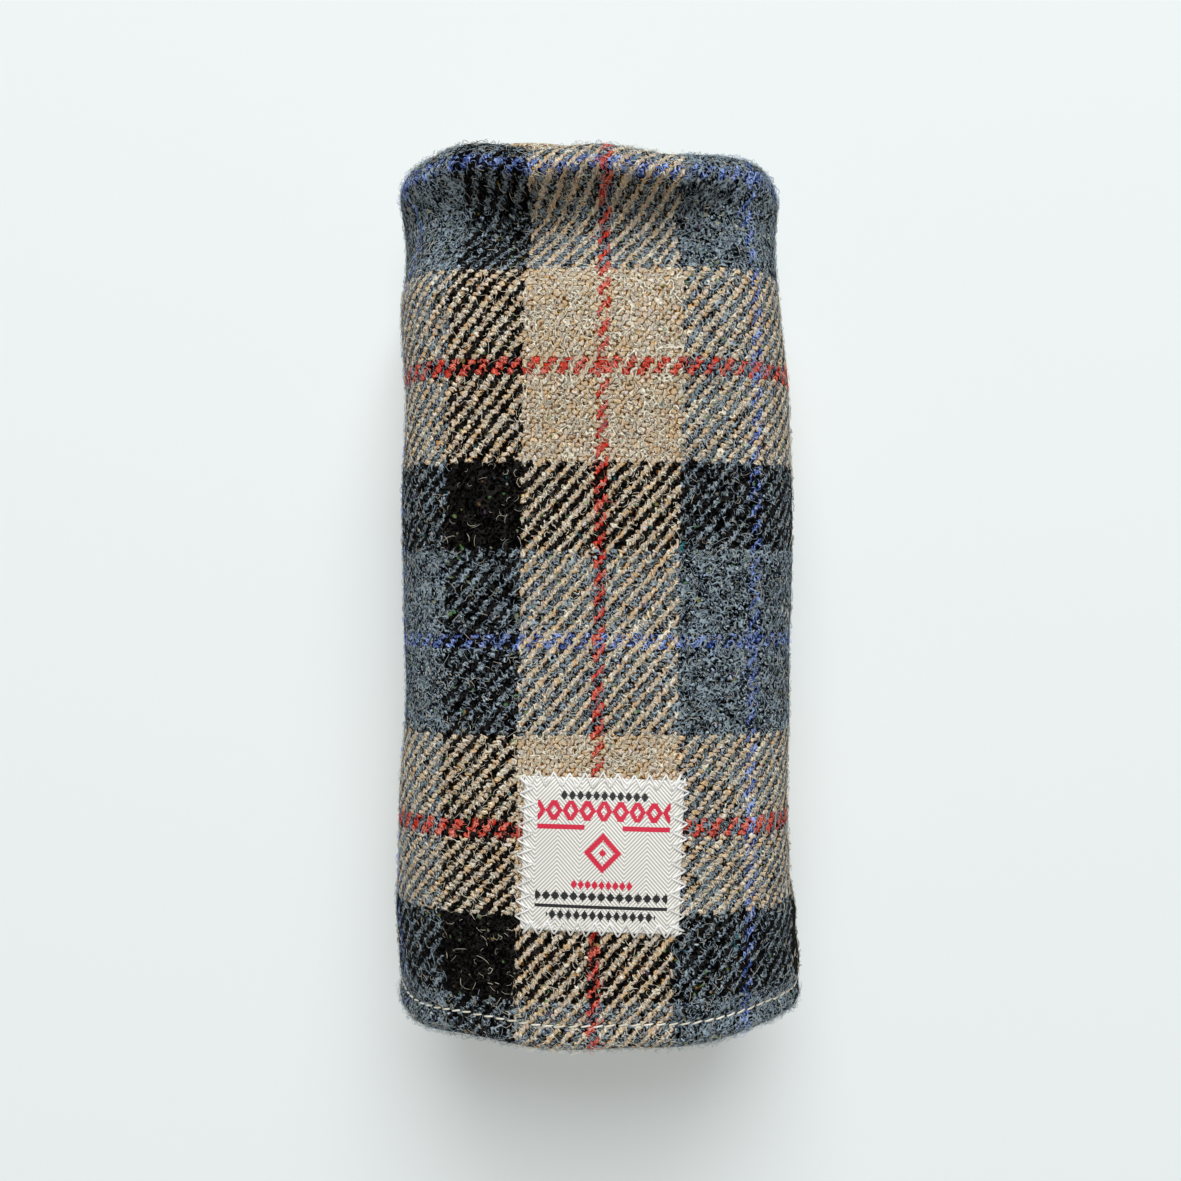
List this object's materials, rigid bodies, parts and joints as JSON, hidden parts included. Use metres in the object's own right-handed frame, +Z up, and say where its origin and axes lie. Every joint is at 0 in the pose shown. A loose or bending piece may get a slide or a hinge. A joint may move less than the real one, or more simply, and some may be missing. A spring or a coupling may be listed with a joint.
{
  "type": "golf club head cover",
  "caption": "Padded barrel head cover in check tweed: closed crown, hemmed open mouth, fleece lining and a sewn-on woven label.",
  "frame": {"origin": "middle of the strip that the cover lies on, half-way between mouth and crown", "axes": "+Y along the cover from the mouth to the closed crown, +Z up through the label, +X across"},
  "size_m": [0.1088, 0.226, 0.0878],
  "materials": {
    "tweed": "woollen 2/2 twill check tweed with a hairy nap",
    "wadding": "bonded polyester wadding",
    "lining": "short-pile fleece",
    "label": "damask-woven polyester label",
    "label_thread": "glossy polyester sewing thread",
    "hem_thread": "spun polyester sewing thread",
    "seam_thread": "spun polyester sewing thread"
  },
  "bodies": {
    "root": {"tweed_barrel": "tweed", "tweed_crown": "tweed", "wadding_barrel": "wadding", "wadding_crown": "wadding", "lining_barrel": "lining", "lining_crown": "lining", "woven_label": "label", "label_stitching": "label_thread", "hem_stitching": "hem_thread", "crown_seam_stitching": "seam_thread", "back_seam_stitching": "seam_thread", "lining_seam_stitching": "seam_thread", "lining_crown_stitching": "seam_thread"}
  },
  "joints": []
}
